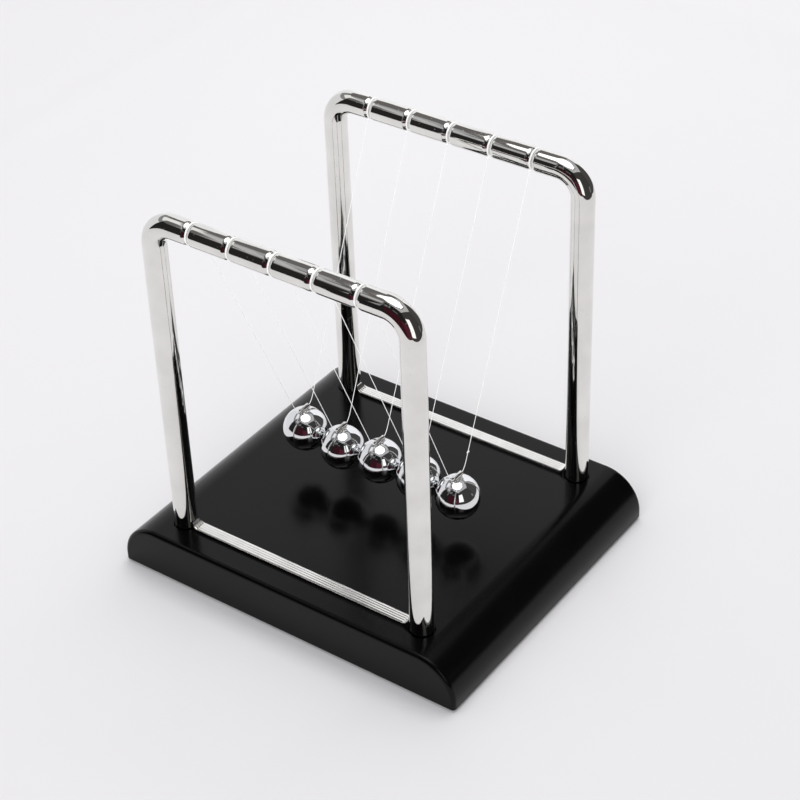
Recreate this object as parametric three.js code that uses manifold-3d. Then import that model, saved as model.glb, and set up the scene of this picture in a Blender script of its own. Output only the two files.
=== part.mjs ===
// Newton's cradle: five steel balls on nylon lines, hung between two plated frames on a moulded base.
// Millimetres. +X runs along the row of balls, +Y from the front frame to the rear one, +Z up.
// The origin is the middle of the footprint, on the surface that the rubber feet stand on.

import * as THREE from 'three';
import { mergeVertices } from 'three/addons/utils/BufferGeometryUtils.js';
import Module from 'manifold-3d';

const wasm = await Module();
wasm.setup();

// Base moulding: flat top and sides, quarter-round left and right ends, open underneath.
const FOOT_DROP = 0.5;
const BASE_LENGTH = 88;
const BASE_DEPTH = 75;
const BASE_HEIGHT = 10.9;
const END_RADIUS = 9.2;
const CORNER_RADIUS = 1.5;
const EDGE_RADIUS = 0.8;
const WALL = 2;
const TOP_WALL = 2.2;
const BASE_TOP = FOOT_DROP + BASE_HEIGHT;

// Bottom cover, let into a rebate round the lower rim of the base.
const RIM = 1;
const COVER_THICKNESS = 2;
const COVER_GAP = 0.15;
const COVER_TOP = FOOT_DROP + COVER_THICKNESS;

// Frames: one plated moulding each, two posts and a top bar in one bend, and a flat sill between the feet.
const FRAME_SPACING = 60.4;
const POST_SPACING = 62.7;
const BAR_RADIUS = 2.58;
const TOP_OF_BAR = 91.3;
const BEND_RADIUS = 5.6;
const SILL_WIDTH = 2.85;
const SILL_HEIGHT = 0.75;
const SILL_FILLET = 1.6;
const BAR_CENTRE = TOP_OF_BAR - BAR_RADIUS;

// Pegs below the posts, and the sockets and screws that hold them.
const PEG_RADIUS = 2.2;
const PEG_LENGTH = 5.3;
const CLEARANCE = 0.3;
const SEAT_GAP = 0.05;
const SOCKET_RADIUS = 4.3;
const SOCKET_BOTTOM = 4.2;
const SCREW_RADIUS = 1.1;
const SCREW_HEAD_RADIUS = 2.3;
const SCREW_HEAD_HEIGHT = 1.4;
const SCREW_REACH = 5.6;

// Pan heads: share of the radius that is flat, height of the rounded edge, and the cross recess.
const HEAD_FLAT = 0.7;
const HEAD_EDGE = 0.6;
const RECESS_LENGTH = 1.1;
const RECESS_WIDTH = 0.25;

// Cover screws, each one hidden by a rubber foot stuck into a shallow recess.
const FOOT_X = 37;
const FOOT_Y = 22;
const FOOT_RADIUS = 4;
const FOOT_THICKNESS = 1;
const FOOT_EDGE = 0.2;
const COVER_BOSS_RADIUS = 2.8;
const COVER_SCREW_RADIUS = 0.9;
const COVER_SCREW_HEAD_RADIUS = 1.8;
const COVER_SCREW_HEAD_HEIGHT = 0.7;
const COVER_SCREW_REACH = 4.5;

// The row of balls. Each line is tied by hand, so each ball hangs a little higher or lower.
const BALL_RADIUS = 5.05;
const BALL_PITCH = 10.2;
const ROW_OFFSET = -0.45;
const BALL_CENTRE = 21.6;
const BALL_RISE = [0.8, -0.2, 0.3, 0.1, -0.8];

// Hanger tube welded on each ball, with the line threaded through it.
const TUBE_RADIUS = 0.58;
const TUBE_BORE = 0.27;
const TUBE_LENGTH = 2.9;
const TUBE_LIFT = 5.45;
const WELD_GAP = 0.08;

// Grooves round the bars, and the nylon line looped and knotted in them.
const GROOVE_DEPTH = 0.4;
const GROOVE_FLOOR = 0.6;
const GROOVE_WIDTH = 1.5;
const LINE_RADIUS = 0.12;
const LOOP_RADIUS = BAR_RADIUS - GROOVE_DEPTH + SEAT_GAP + LINE_RADIUS;
const KNOT_RADIUS = 0.33;
const KNOT_REACH = 2.75;
const KNOT_ANGLE = THREE.MathUtils.degToRad(35);
const LINE_REACH = 1;
const LINE_BEND = 2.6;
const SPLICE_RISE = 4.2;
const SPLICE_RADIUS = 0.28;

// Smoothness of the round shapes.
const BAR_SIDES = 16;
const ROD_SIDES = 16;
const BALL_SIDES = 20;
const BALL_RINGS = 12;
const TUBE_SIDES = 14;
const BORE_SIDES = 10;
const SCREW_SIDES = 12;
const FOOT_SIDES = 20;
const KNOT_SIDES = 8;
const KNOT_RINGS = 6;
const LINE_SIDES = 8;
const LOOP_SIDES = 5;
const LINE_BEND_STEPS = 4;
const BEND_STEPS = 6;
const END_SEGMENTS = 5;
const EDGE_SEGMENTS = 2;

const chrome = new THREE.MeshStandardMaterial({ color: 0xd9dbdc, roughness: 0.08, metalness: 1 });
const steel = new THREE.MeshStandardMaterial({ color: 0xc9cbcd, roughness: 0.05, metalness: 1 });
const tubeSteel = new THREE.MeshStandardMaterial({ color: 0xb9b7b2, roughness: 0.25, metalness: 1 });
const zinc = new THREE.MeshStandardMaterial({ color: 0x9b9c9a, roughness: 0.4, metalness: 1 });
const glossBlack = new THREE.MeshStandardMaterial({ color: 0x1b1b1d, roughness: 0.15, metalness: 0 });
const satinBlack = new THREE.MeshStandardMaterial({ color: 0x202022, roughness: 0.55, metalness: 0 });
const nylon = new THREE.MeshStandardMaterial({ color: 0xe9ebea, roughness: 0.3, metalness: 0 });
const rubber = new THREE.MeshStandardMaterial({ color: 0x151515, roughness: 0.9, metalness: 0 });

// A path that a section is swept along, with one section at each of its points.
class Stations extends THREE.Curve {
  constructor(points) {
    super();
    this.points = points;
  }

  getPoint(t) {
    return this.points[Math.round(t * (this.points.length - 1))].clone();
  }

  getPointAt(t) {
    return this.getPoint(t);
  }

  getTangentAt(t) {
    const last = this.points.length - 1;
    const index = Math.round(t * last);
    const ahead = this.points[Math.min(index + 1, last)].clone().sub(this.points[index]).normalize();
    const behind = this.points[index].clone().sub(this.points[Math.max(index - 1, 0)]).normalize();
    return ahead.add(behind).normalize();
  }
}

// Closed three.js geometry to a manifold solid, turned the right way out.
function solid(geometry) {
  geometry.deleteAttribute('normal');
  geometry.deleteAttribute('uv');
  const merged = mergeVertices(geometry, 1e-4);
  const triVerts = Uint32Array.from(merged.index.array);
  const vertProperties = Float32Array.from(merged.attributes.position.array);
  const made = new wasm.Manifold(new wasm.Mesh({ numProp: 3, vertProperties, triVerts }));
  if (made.volume() > 0) return made;
  const flipped = triVerts.map((_, i) => triVerts[i - (i % 3) + 2 - (i % 3)]);
  return new wasm.Manifold(new wasm.Mesh({ numProp: 3, vertProperties, triVerts: flipped }));
}

// Manifold solid back to a named three.js mesh.
function mesh(name, shape, material) {
  const data = shape.getMesh();
  const geometry = new THREE.BufferGeometry();
  geometry.setAttribute('position', new THREE.BufferAttribute(data.vertProperties, 3));
  geometry.setIndex(new THREE.BufferAttribute(data.triVerts, 1));
  geometry.computeVertexNormals();
  const made = new THREE.Mesh(geometry, material);
  made.name = name;
  return made;
}

function union(shapes) {
  return shapes.reduce((whole, shape) => whole.add(shape));
}

// Upright round rod between two heights.
function rod(radius, bottom, top, x = 0, y = 0) {
  const geometry = new THREE.CylinderGeometry(radius, radius, top - bottom, ROD_SIDES);
  geometry.rotateX(Math.PI / 2);
  geometry.translate(x, y, (top + bottom) / 2);
  return solid(geometry);
}

// Upright turned piece from a half profile of [radius, height] points that starts and ends on the axis.
function turned(profile, sides) {
  const points = profile.map(([radius, height]) => new THREE.Vector2(radius, height));
  return solid(new THREE.LatheGeometry(points, sides).rotateX(Math.PI / 2));
}

function box(width, depth, height, x, y, z) {
  return solid(new THREE.BoxGeometry(width, depth, height).translate(x, y, z));
}

function roundSection(radius, sides) {
  const step = (2 * Math.PI) / sides;
  const corner = (i) => new THREE.Vector2(radius * Math.cos(i * step), radius * Math.sin(i * step));
  return new THREE.Shape(Array.from({ length: sides }, (_, i) => corner(i)));
}

function sweep(radius, sides, points) {
  const extrudePath = new Stations(points);
  return solid(new THREE.ExtrudeGeometry(roundSection(radius, sides), { extrudePath, steps: points.length - 1 }));
}

// Flat-bottomed outline with its two upper corners rounded.
function archOutline(halfWidth, bottom, top, radius) {
  const outline = new THREE.Shape();
  outline.moveTo(-halfWidth, bottom);
  outline.lineTo(halfWidth, bottom);
  outline.lineTo(halfWidth, top - radius);
  outline.absarc(halfWidth - radius, top - radius, radius, 0, Math.PI / 2);
  outline.absarc(radius - halfWidth, top - radius, radius, Math.PI / 2, Math.PI);
  return outline;
}

function roundedRectangle(halfX, halfY, radius) {
  const outline = new THREE.Shape();
  outline.absarc(halfX - radius, halfY - radius, radius, 0, Math.PI / 2);
  outline.absarc(radius - halfX, halfY - radius, radius, Math.PI / 2, Math.PI);
  outline.absarc(radius - halfX, radius - halfY, radius, Math.PI, 1.5 * Math.PI);
  outline.absarc(halfX - radius, radius - halfY, radius, 1.5 * Math.PI, 2 * Math.PI);
  return outline;
}

// Upright slab of a plan outline.
function slab(outline, bottom, top, curveSegments = EDGE_SEGMENTS) {
  const geometry = new THREE.ExtrudeGeometry(outline, { depth: top - bottom, bevelEnabled: false, curveSegments });
  return solid(geometry.translate(0, 0, bottom));
}

// Outline in X and Z, extruded through the depth.
function throughDepth(outline, depth, curveSegments) {
  const geometry = new THREE.ExtrudeGeometry(outline, { depth, bevelEnabled: false, curveSegments });
  return solid(geometry.rotateX(Math.PI / 2).translate(0, depth / 2, 0));
}

// Outline in Y and Z, extruded along the length.
function alongLength(outline, length, curveSegments) {
  const geometry = new THREE.ExtrudeGeometry(outline, { depth: length, bevelEnabled: false, curveSegments });
  return solid(geometry.rotateX(Math.PI / 2).rotateZ(Math.PI / 2).translate(-length / 2, 0, 0));
}

function corners(halfX, halfY) {
  return [-1, 1].flatMap((sideX) => [-1, 1].map((sideY) => [sideX * halfX, sideY * halfY]));
}

const postPlaces = corners(POST_SPACING / 2, FRAME_SPACING / 2);
const footPlaces = corners(FOOT_X, FOOT_Y);

function baseOutside() {
  const ends = throughDepth(archOutline(BASE_LENGTH / 2, FOOT_DROP, BASE_TOP, END_RADIUS), BASE_DEPTH, END_SEGMENTS);
  const plan = slab(roundedRectangle(BASE_LENGTH / 2, BASE_DEPTH / 2, CORNER_RADIUS), 0, BASE_TOP + 1);
  const edges = alongLength(archOutline(BASE_DEPTH / 2, 0, BASE_TOP, EDGE_RADIUS), BASE_LENGTH, EDGE_SEGMENTS);
  return ends.intersect(plan).intersect(edges);
}

function baseHollow() {
  const inside = archOutline(BASE_LENGTH / 2 - WALL, 0, BASE_TOP - TOP_WALL, END_RADIUS - WALL);
  const rebate = roundedRectangle(BASE_LENGTH / 2 - RIM, BASE_DEPTH / 2 - RIM, CORNER_RADIUS - RIM);
  return throughDepth(inside, BASE_DEPTH - 2 * WALL, END_SEGMENTS).add(slab(rebate, 0, COVER_TOP));
}

function baseShell() {
  const outside = baseOutside();
  const sockets = postPlaces.map(([x, y]) => rod(SOCKET_RADIUS, SOCKET_BOTTOM, BASE_TOP - 1, x, y));
  const bosses = footPlaces.map(([x, y]) => rod(COVER_BOSS_RADIUS, COVER_TOP + SEAT_GAP, BASE_TOP - 1, x, y));
  const pegHoles = postPlaces.map(([x, y]) =>
    rod(PEG_RADIUS + CLEARANCE, BASE_TOP - PEG_LENGTH - CLEARANCE, BASE_TOP + 1, x, y));
  const screwHoles = postPlaces.map(([x, y]) => rod(SCREW_RADIUS + CLEARANCE, 0, BASE_TOP, x, y));
  const pilots = footPlaces.map(([x, y]) =>
    rod(COVER_SCREW_RADIUS + CLEARANCE, 0, COVER_TOP + COVER_SCREW_REACH + CLEARANCE, x, y));
  const body = outside.subtract(baseHollow()).add(union([...sockets, ...bosses]).intersect(outside));
  return body.subtract(union([...pegHoles, ...screwHoles, ...pilots]));
}

function bottomCover() {
  const halfX = BASE_LENGTH / 2 - RIM - COVER_GAP;
  const halfY = BASE_DEPTH / 2 - RIM - COVER_GAP;
  const plate = slab(roundedRectangle(halfX, halfY, CORNER_RADIUS - RIM), FOOT_DROP, COVER_TOP - SEAT_GAP);
  const recessTop = FOOT_THICKNESS + SEAT_GAP;
  const headTop = recessTop + COVER_SCREW_HEAD_HEIGHT + SEAT_GAP;
  const cuts = footPlaces.flatMap(([x, y]) => [
    rod(FOOT_RADIUS + CLEARANCE, 0, recessTop, x, y),
    rod(COVER_SCREW_HEAD_RADIUS + CLEARANCE, 0, headTop, x, y),
    rod(COVER_SCREW_RADIUS + CLEARANCE, 0, COVER_TOP + 1, x, y),
  ]);
  return plate.subtract(union(cuts));
}

// Pan-head screw standing on its head, with a cross recess in the underside.
function screw(radius, reach, headRadius, headHeight) {
  const shape = turned([[0, 0], [headRadius * HEAD_FLAT, 0], [headRadius, headHeight * HEAD_EDGE],
    [headRadius, headHeight], [radius, headHeight], [radius, headHeight + reach - radius],
    [0, headHeight + reach]], SCREW_SIDES);
  const long = headRadius * RECESS_LENGTH;
  const narrow = headRadius * RECESS_WIDTH;
  const recess = box(long, narrow, headHeight, 0, 0, 0).add(box(narrow, long, headHeight, 0, 0, 0));
  return shape.subtract(recess);
}

function rubberFoot() {
  return turned([[0, 0], [FOOT_RADIUS - FOOT_EDGE, 0], [FOOT_RADIUS, FOOT_EDGE],
    [FOOT_RADIUS, FOOT_THICKNESS], [0, FOOT_THICKNESS]], FOOT_SIDES);
}

// Centre line of one frame in X and Z, from one foot over the top bar to the other.
function frameCentreLine(footZ) {
  const halfSpan = POST_SPACING / 2;
  const bendX = halfSpan - BEND_RADIUS;
  const bendZ = BAR_CENTRE - BASE_TOP - BEND_RADIUS;
  const points = [new THREE.Vector3(-halfSpan, 0, footZ)];
  for (let i = 0; i <= BEND_STEPS; i += 1) {
    const turn = (i / BEND_STEPS) * (Math.PI / 2);
    points.push(new THREE.Vector3(-bendX - BEND_RADIUS * Math.cos(turn), 0, bendZ + BEND_RADIUS * Math.sin(turn)));
  }
  return [...points, ...points.map((p) => new THREE.Vector3(-p.x, 0, p.z)).reverse()];
}

// Ring that cuts one line groove, round an axis along X.
function grooveCutter(x, z) {
  const floor = BAR_RADIUS - GROOVE_DEPTH;
  const outside = BAR_RADIUS + GROOVE_DEPTH;
  const halfFloor = GROOVE_FLOOR / 2;
  const flare = GROOVE_WIDTH - halfFloor;
  const section = [[floor, -halfFloor], [outside, -flare], [outside, flare], [floor, halfFloor], [floor, -halfFloor]];
  const ring = new THREE.LatheGeometry(section.map(([r, u]) => new THREE.Vector2(r, u)), BAR_SIDES);
  return solid(ring.rotateZ(Math.PI / 2).translate(x, 0, z));
}

// Concave web where a post runs into the sill.
function sillFillet(side) {
  const outline = new THREE.Shape();
  outline.moveTo(0, 0);
  outline.lineTo(SILL_FILLET + BAR_RADIUS, 0);
  outline.lineTo(SILL_FILLET + BAR_RADIUS, SILL_HEIGHT);
  outline.absarc(SILL_FILLET + BAR_RADIUS, SILL_HEIGHT + SILL_FILLET, SILL_FILLET, 1.5 * Math.PI, Math.PI, true);
  outline.lineTo(0, SILL_HEIGHT + SILL_FILLET);
  const web = throughDepth(outline, SILL_WIDTH, EDGE_SEGMENTS);
  const placed = side < 0 ? web : web.mirror([1, 0, 0]);
  return placed.translate([side * POST_SPACING / 2, 0, SEAT_GAP]);
}

function frame() {
  const barZ = BAR_CENTRE - BASE_TOP;
  const loop = sweep(BAR_RADIUS, BAR_SIDES, frameCentreLine(SEAT_GAP));
  const sill = box(POST_SPACING, SILL_WIDTH, SILL_HEIGHT, 0, 0, SEAT_GAP + SILL_HEIGHT / 2);
  const pegs = [-1, 1].map((side) => rod(PEG_RADIUS, -PEG_LENGTH, 1, side * POST_SPACING / 2));
  const pilots = [-1, 1].map((side) =>
    rod(SCREW_RADIUS + CLEARANCE, -PEG_LENGTH - 1, -1, side * POST_SPACING / 2));
  const grooves = BALL_RISE.map((_, i) => grooveCutter(ballX(i), barZ));
  const body = union([loop, sill, sillFillet(-1), sillFillet(1), ...pegs]);
  return body.subtract(union([...pilots, ...grooves]));
}

function ballX(index) {
  return ROW_OFFSET + (index - (BALL_RISE.length - 1) / 2) * BALL_PITCH;
}

// Knot and the top of the moving line, in Y and Z on the rear side of the row.
const knotY = FRAME_SPACING / 2 - KNOT_REACH * Math.cos(KNOT_ANGLE);
const knotZ = BAR_CENTRE - KNOT_REACH * Math.sin(KNOT_ANGLE);
const tubeEndY = TUBE_LENGTH / 2;
const tubeZ = BALL_CENTRE + TUBE_LIFT;
const lineSlope = (knotY - tubeEndY - LINE_REACH) / (knotZ - tubeZ);
const knotDrop = KNOT_RADIUS + LINE_RADIUS;
const pivotZ = knotZ - knotDrop;
const pivotY = knotY - knotDrop * lineSlope;

function ball(radius = BALL_RADIUS) {
  return solid(new THREE.SphereGeometry(radius, BALL_SIDES, BALL_RINGS).rotateX(Math.PI / 2));
}

// Short tube along Y, saddled over the ball that it is welded to.
function hangerTube() {
  const along = (radius, length, sides) => solid(new THREE.CylinderGeometry(radius, radius, length, sides));
  const wall = along(TUBE_RADIUS, TUBE_LENGTH, TUBE_SIDES).subtract(along(TUBE_BORE, TUBE_LENGTH + 1, BORE_SIDES));
  return wall.subtract(ball(BALL_RADIUS + WELD_GAP).translate([0, 0, -TUBE_LIFT]));
}

// Half of one line in Y and Z, from the end of the tube up to the knot, seen from the pivot axis.
function halfLine(tubeDrop) {
  const exit = new THREE.Vector2(tubeEndY, -tubeDrop);
  const corner = new THREE.Vector2(tubeEndY + LINE_REACH, -tubeDrop);
  const top = new THREE.Vector2(pivotY, 0);
  const bendTop = corner.clone().lerp(top, LINE_BEND / corner.distanceTo(top));
  const bend = new THREE.QuadraticBezierCurve(exit, corner, bendTop);
  return [...bend.getPoints(LINE_BEND_STEPS), top].map((p) => new THREE.Vector3(0, p.x, p.y));
}

function line(index) {
  const half = halfLine(pivotZ - tubeZ - BALL_RISE[index]);
  const mirrored = half.map((p) => new THREE.Vector3(0, -p.y, p.z)).reverse();
  return sweep(LINE_RADIUS, LINE_SIDES, [...mirrored, ...half]);
}

// The last line is joined by a small knot a little above its tube, on the rear side.
function splicedLine(index) {
  const half = halfLine(pivotZ - tubeZ - BALL_RISE[index]);
  const foot = half[half.length - 2];
  const top = half[half.length - 1];
  const place = foot.clone().lerp(top, SPLICE_RISE / foot.distanceTo(top));
  const knot = new THREE.SphereGeometry(SPLICE_RADIUS, KNOT_SIDES, KNOT_RINGS).translate(0, place.y, place.z);
  return line(index).add(solid(knot));
}

// Turn of line lying in its groove, with the knot on the side that faces the balls (+Y here).
function lineLoop() {
  const ring = new THREE.TorusGeometry(LOOP_RADIUS, LINE_RADIUS, LOOP_SIDES, BAR_SIDES).rotateY(Math.PI / 2);
  const knot = new THREE.SphereGeometry(KNOT_RADIUS, KNOT_SIDES, KNOT_RINGS);
  knot.translate(0, KNOT_REACH * Math.cos(KNOT_ANGLE), -KNOT_REACH * Math.sin(KNOT_ANGLE));
  return solid(ring).add(solid(knot));
}

const cradle = new THREE.Group();

function place(made, x = 0, y = 0, z = 0) {
  made.position.set(x, y, z);
  return made;
}

cradle.add(mesh('base_shell', baseShell(), glossBlack));
cradle.add(mesh('bottom_cover', bottomCover(), satinBlack));

const frameSolid = frame();
cradle.add(place(mesh('front_frame', frameSolid, chrome), 0, -FRAME_SPACING / 2, BASE_TOP));
cradle.add(place(mesh('rear_frame', frameSolid, chrome), 0, FRAME_SPACING / 2, BASE_TOP));

const frameScrew = screw(SCREW_RADIUS, SCREW_REACH, SCREW_HEAD_RADIUS, SCREW_HEAD_HEIGHT);
postPlaces.forEach(([x, y], i) => {
  const z = SOCKET_BOTTOM - SEAT_GAP - SCREW_HEAD_HEIGHT;
  cradle.add(place(mesh(`frame_screw_${i + 1}`, frameScrew, zinc), x, y, z));
});

const coverScrew = screw(COVER_SCREW_RADIUS, COVER_SCREW_REACH, COVER_SCREW_HEAD_RADIUS, COVER_SCREW_HEAD_HEIGHT);
footPlaces.forEach(([x, y], i) => {
  cradle.add(place(mesh(`cover_screw_${i + 1}`, coverScrew, zinc), x, y, FOOT_THICKNESS + SEAT_GAP));
  cradle.add(place(mesh(`rubber_foot_${i + 1}`, rubberFoot(), rubber), x, y, 0));
});

const loop = lineLoop();
BALL_RISE.forEach((rise, i) => {
  const pendulum = new THREE.Group();
  pendulum.position.x = ballX(i);
  const lineSolid = i === BALL_RISE.length - 1 ? splicedLine(i) : line(i);
  pendulum.add(place(mesh(`ball_${i + 1}`, ball(), steel), 0, 0, BALL_CENTRE + rise));
  pendulum.add(place(mesh(`hanger_tube_${i + 1}`, hangerTube(), tubeSteel), 0, 0, tubeZ + rise));
  pendulum.add(place(mesh(`line_${i + 1}`, lineSolid, nylon), 0, 0, pivotZ));
  cradle.add(pendulum);

  const frontLoop = place(mesh(`front_loop_${i + 1}`, loop, nylon), ballX(i), -FRAME_SPACING / 2, BAR_CENTRE);
  const rearLoop = place(mesh(`rear_loop_${i + 1}`, loop, nylon), ballX(i), FRAME_SPACING / 2, BAR_CENTRE);
  rearLoop.rotation.z = Math.PI;
  cradle.add(frontLoop, rearLoop);
});

export default cradle;
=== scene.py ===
import math

import bmesh
import bpy
from mathutils import Matrix, Vector


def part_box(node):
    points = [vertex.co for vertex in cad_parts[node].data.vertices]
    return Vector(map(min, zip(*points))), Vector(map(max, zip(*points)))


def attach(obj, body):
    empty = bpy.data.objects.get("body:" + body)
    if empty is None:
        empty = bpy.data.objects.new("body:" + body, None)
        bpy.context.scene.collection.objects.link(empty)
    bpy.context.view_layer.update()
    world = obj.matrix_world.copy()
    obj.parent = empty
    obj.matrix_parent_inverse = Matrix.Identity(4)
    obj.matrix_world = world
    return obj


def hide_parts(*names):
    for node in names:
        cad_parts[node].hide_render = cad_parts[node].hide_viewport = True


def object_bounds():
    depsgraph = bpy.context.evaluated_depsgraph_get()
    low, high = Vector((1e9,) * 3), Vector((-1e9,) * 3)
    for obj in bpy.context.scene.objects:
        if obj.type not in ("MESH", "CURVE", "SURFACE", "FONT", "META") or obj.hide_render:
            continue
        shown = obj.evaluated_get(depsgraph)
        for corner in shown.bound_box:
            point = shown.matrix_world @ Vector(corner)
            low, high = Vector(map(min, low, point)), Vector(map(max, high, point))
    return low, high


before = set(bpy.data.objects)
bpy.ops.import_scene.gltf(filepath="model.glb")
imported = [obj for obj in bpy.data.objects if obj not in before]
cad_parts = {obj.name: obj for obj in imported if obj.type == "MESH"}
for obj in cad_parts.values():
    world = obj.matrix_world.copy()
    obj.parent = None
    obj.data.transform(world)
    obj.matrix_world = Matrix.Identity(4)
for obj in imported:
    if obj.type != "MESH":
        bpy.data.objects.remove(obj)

CAD_LOW, CAD_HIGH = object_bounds()
MM = 0.001

# ---------------------------------------------------------------- camera

CAMERA_PLACE = Vector((0.22150, -0.29128, 0.30497))
CAMERA_YAW = 0.638
CAMERA_PITCH = 0.630
CAMERA_ROLL = -0.038
CAMERA_LENS = 95.47
CAMERA_SENSOR = 36


def make_camera():
    data = bpy.data.cameras.new("camera")
    data.sensor_width = CAMERA_SENSOR
    data.lens = CAMERA_LENS
    data.clip_start = 0.01
    data.clip_end = 20
    camera = bpy.data.objects.new("camera", data)
    forward = Vector((
        -math.sin(CAMERA_YAW) * math.cos(CAMERA_PITCH),
        math.cos(CAMERA_YAW) * math.cos(CAMERA_PITCH),
        -math.sin(CAMERA_PITCH),
    ))
    side = Vector((math.cos(CAMERA_YAW), math.sin(CAMERA_YAW), 0))
    above = side.cross(forward)
    right = side * math.cos(CAMERA_ROLL) + above * math.sin(CAMERA_ROLL)
    up = above * math.cos(CAMERA_ROLL) - side * math.sin(CAMERA_ROLL)
    turn = Matrix((right, up, -forward)).transposed()
    camera.matrix_world = Matrix.Translation(CAMERA_PLACE) @ turn.to_4x4()
    bpy.context.scene.collection.objects.link(camera)
    bpy.context.scene.camera = camera


# ---------------------------------------------------------------- sizes from the frame

def middle(node):
    low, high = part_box(node)
    return (low + high) / 2


def size(node):
    low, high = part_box(node)
    return high - low


BALLS = range(1, 6)
CORNERS = range(1, 5)
FRAMES = ("front_frame", "rear_frame")
BASE_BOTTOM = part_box("base_shell")[0].z
BASE_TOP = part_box("base_shell")[1].z
BASE_SIZE = size("base_shell")
COVER_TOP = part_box("bottom_cover")[1].z

# ---------------------------------------------------------------- sizes that the frame's boxes don't give

BASE_END_RADIUS = 9.2 * MM
BASE_EDGE = 0.95 * MM
BASE_LOWER_EDGE = 0.3 * MM
BASE_CORNER_RADIUS = 1.5 * MM
BASE_WALL = 2 * MM
BASE_TOP_WALL = 2.2 * MM
COVER_RIM = 1 * MM
# Width of a narrow band of faces beside a curve, which keeps the shading of the flat face flat.
SHADING_STRIP = 0.05 * MM

HOLE_RADIUS = 2.78 * MM
HOLE_LIP = 0.14 * MM
SHOULDER_DEPTH = 0.9 * MM
SOCKET_RADIUS = 4.3 * MM
SOCKET_BOTTOM = 4.2 * MM
COVER_BOSS_RADIUS = 2.8 * MM

PEG_DEPTH = 5.3 * MM
PEG_RADIUS = 2.2 * MM
PEG_GAP = 0.3 * MM
PEG_TIP_HEIGHT = 0.3 * MM
PEG_TIP_TAPER = 0.35 * MM
PEG_TOP = -SHOULDER_DEPTH + 0.1 * MM
NECK_BOTTOM = PEG_TOP + 0.01 * MM
NECK_INSET = 0.12 * MM
# A post's foot: height over the base, and how far its surface stands out from the post's own radius.
POST_FOOT = (
    (0.1 * MM, -NECK_INSET),
    (0.16 * MM, 0),
    (0.25 * MM, 0.07 * MM),
    (0.5 * MM, 0.07 * MM),
    (1.6 * MM, 0),
    (8 * MM, 0),
)
# Two places on a post, below the start of its bend.
POST_STATIONS = (24 * MM, 0.6 * MM)

FRAME_SIDES = 72
BEND_RADIUS = 5.6 * MM
GROOVE_DEPTH = 0.42 * MM
GROOVE_SPREAD = 0.6 * MM
GROOVE_STEP = 0.07 * MM
GROOVE_STEPS = 19

SILL_WIDTH = 2.85 * MM
SILL_HEIGHT = 0.75 * MM
SILL_GAP = 0.02 * MM
SILL_LINE = 0.045 * MM
SILL_LINE_DEPTH = 0.014 * MM
SILL_LINE_PITCH = 0.62 * MM
SILL_LINE_FADE = 0.3 * MM
SILL_FILLET = 1.6 * MM
SILL_END_NARROWING = 0.6
SILL_OVERLAP = 1.2 * MM

WELD_HEIGHT = 0.3 * MM
WELD_REACH = (0.95 * MM, 1.45 * MM)
WELD_FLAT = 0.55
WELD_SLOPE = 0.6
# Waves round the weld's edge: how many, how high, and how their phase moves from ball to ball.
WELD_WAVES = ((5, 0.16, 1.7), (9, 0.1, 3.91))
# Tilts from the top of a ball, in degrees: where the weld's fine rings end, and the steps above and below.
WELD_TILT = 27
WELD_TILT_STEP = 1.5
BALL_TILT_STEP = 4
BALL_SIDES = 96

TUBE_BORE = 0.27 * MM
TUBE_EDGE = 0.1 * MM
TUBE_DENT = 0.02
TUBE_SIDES = 40

LINE_RADIUS = 0.075 * MM
# The CAD line is thicker: its radius, and the direction across it at its top as (y, z).
CAD_LINE_RADIUS = 0.12 * MM
CAD_LINE_ACROSS = Vector((0.9, 0.4))
LINE_REACH = 1 * MM
LINE_BEND = 2.6 * MM
LINE_BEND_STEPS = 12
SPLICE_RISE = 4.2 * MM
SPLICE_RADIUS = 0.24 * MM
SPLICE_LINE_RADIUS = 0.11 * MM

LOOP_RADIUS = 2.3 * MM
LOOP_WIDTH = 0.44 * MM
LOOP_TURNS = 2
LOOP_STEPS = 96
LOOP_LINE_RADIUS = 0.085 * MM
KNOT_REACH = 2.75 * MM
KNOT_ANGLE = math.radians(35)
KNOT_DIRECTION = Vector((0.35, 0.45, -0.82)).normalized()
KNOT_RADIUS = 0.26 * MM
KNOT_LINE_RADIUS = 0.13 * MM
KNOT_STEPS = 36
KNOT_WAVES = 1.5
KNOT_SWAY = 0.38
KNOT_LENGTH = 0.75
TAIL_START = 0.1 * MM
TAIL_REACH = Vector((0.7 * MM, 0.25 * MM, 0.5 * MM))

FOOT_EDGE = 0.3 * MM
FOOT_DISH = 0.06 * MM

# ---------------------------------------------------------------- mesh helpers

def shade_smooth(mesh, sharp_angle):
    mesh.polygons.foreach_set("use_smooth", [True] * len(mesh.polygons))
    mesh.set_sharp_from_angle(angle=math.radians(sharp_angle))


def add_object(name, mesh, sharp_angle):
    shade_smooth(mesh, sharp_angle)
    made = bpy.data.objects.new(name, mesh)
    bpy.context.scene.collection.objects.link(made)
    return made


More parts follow.
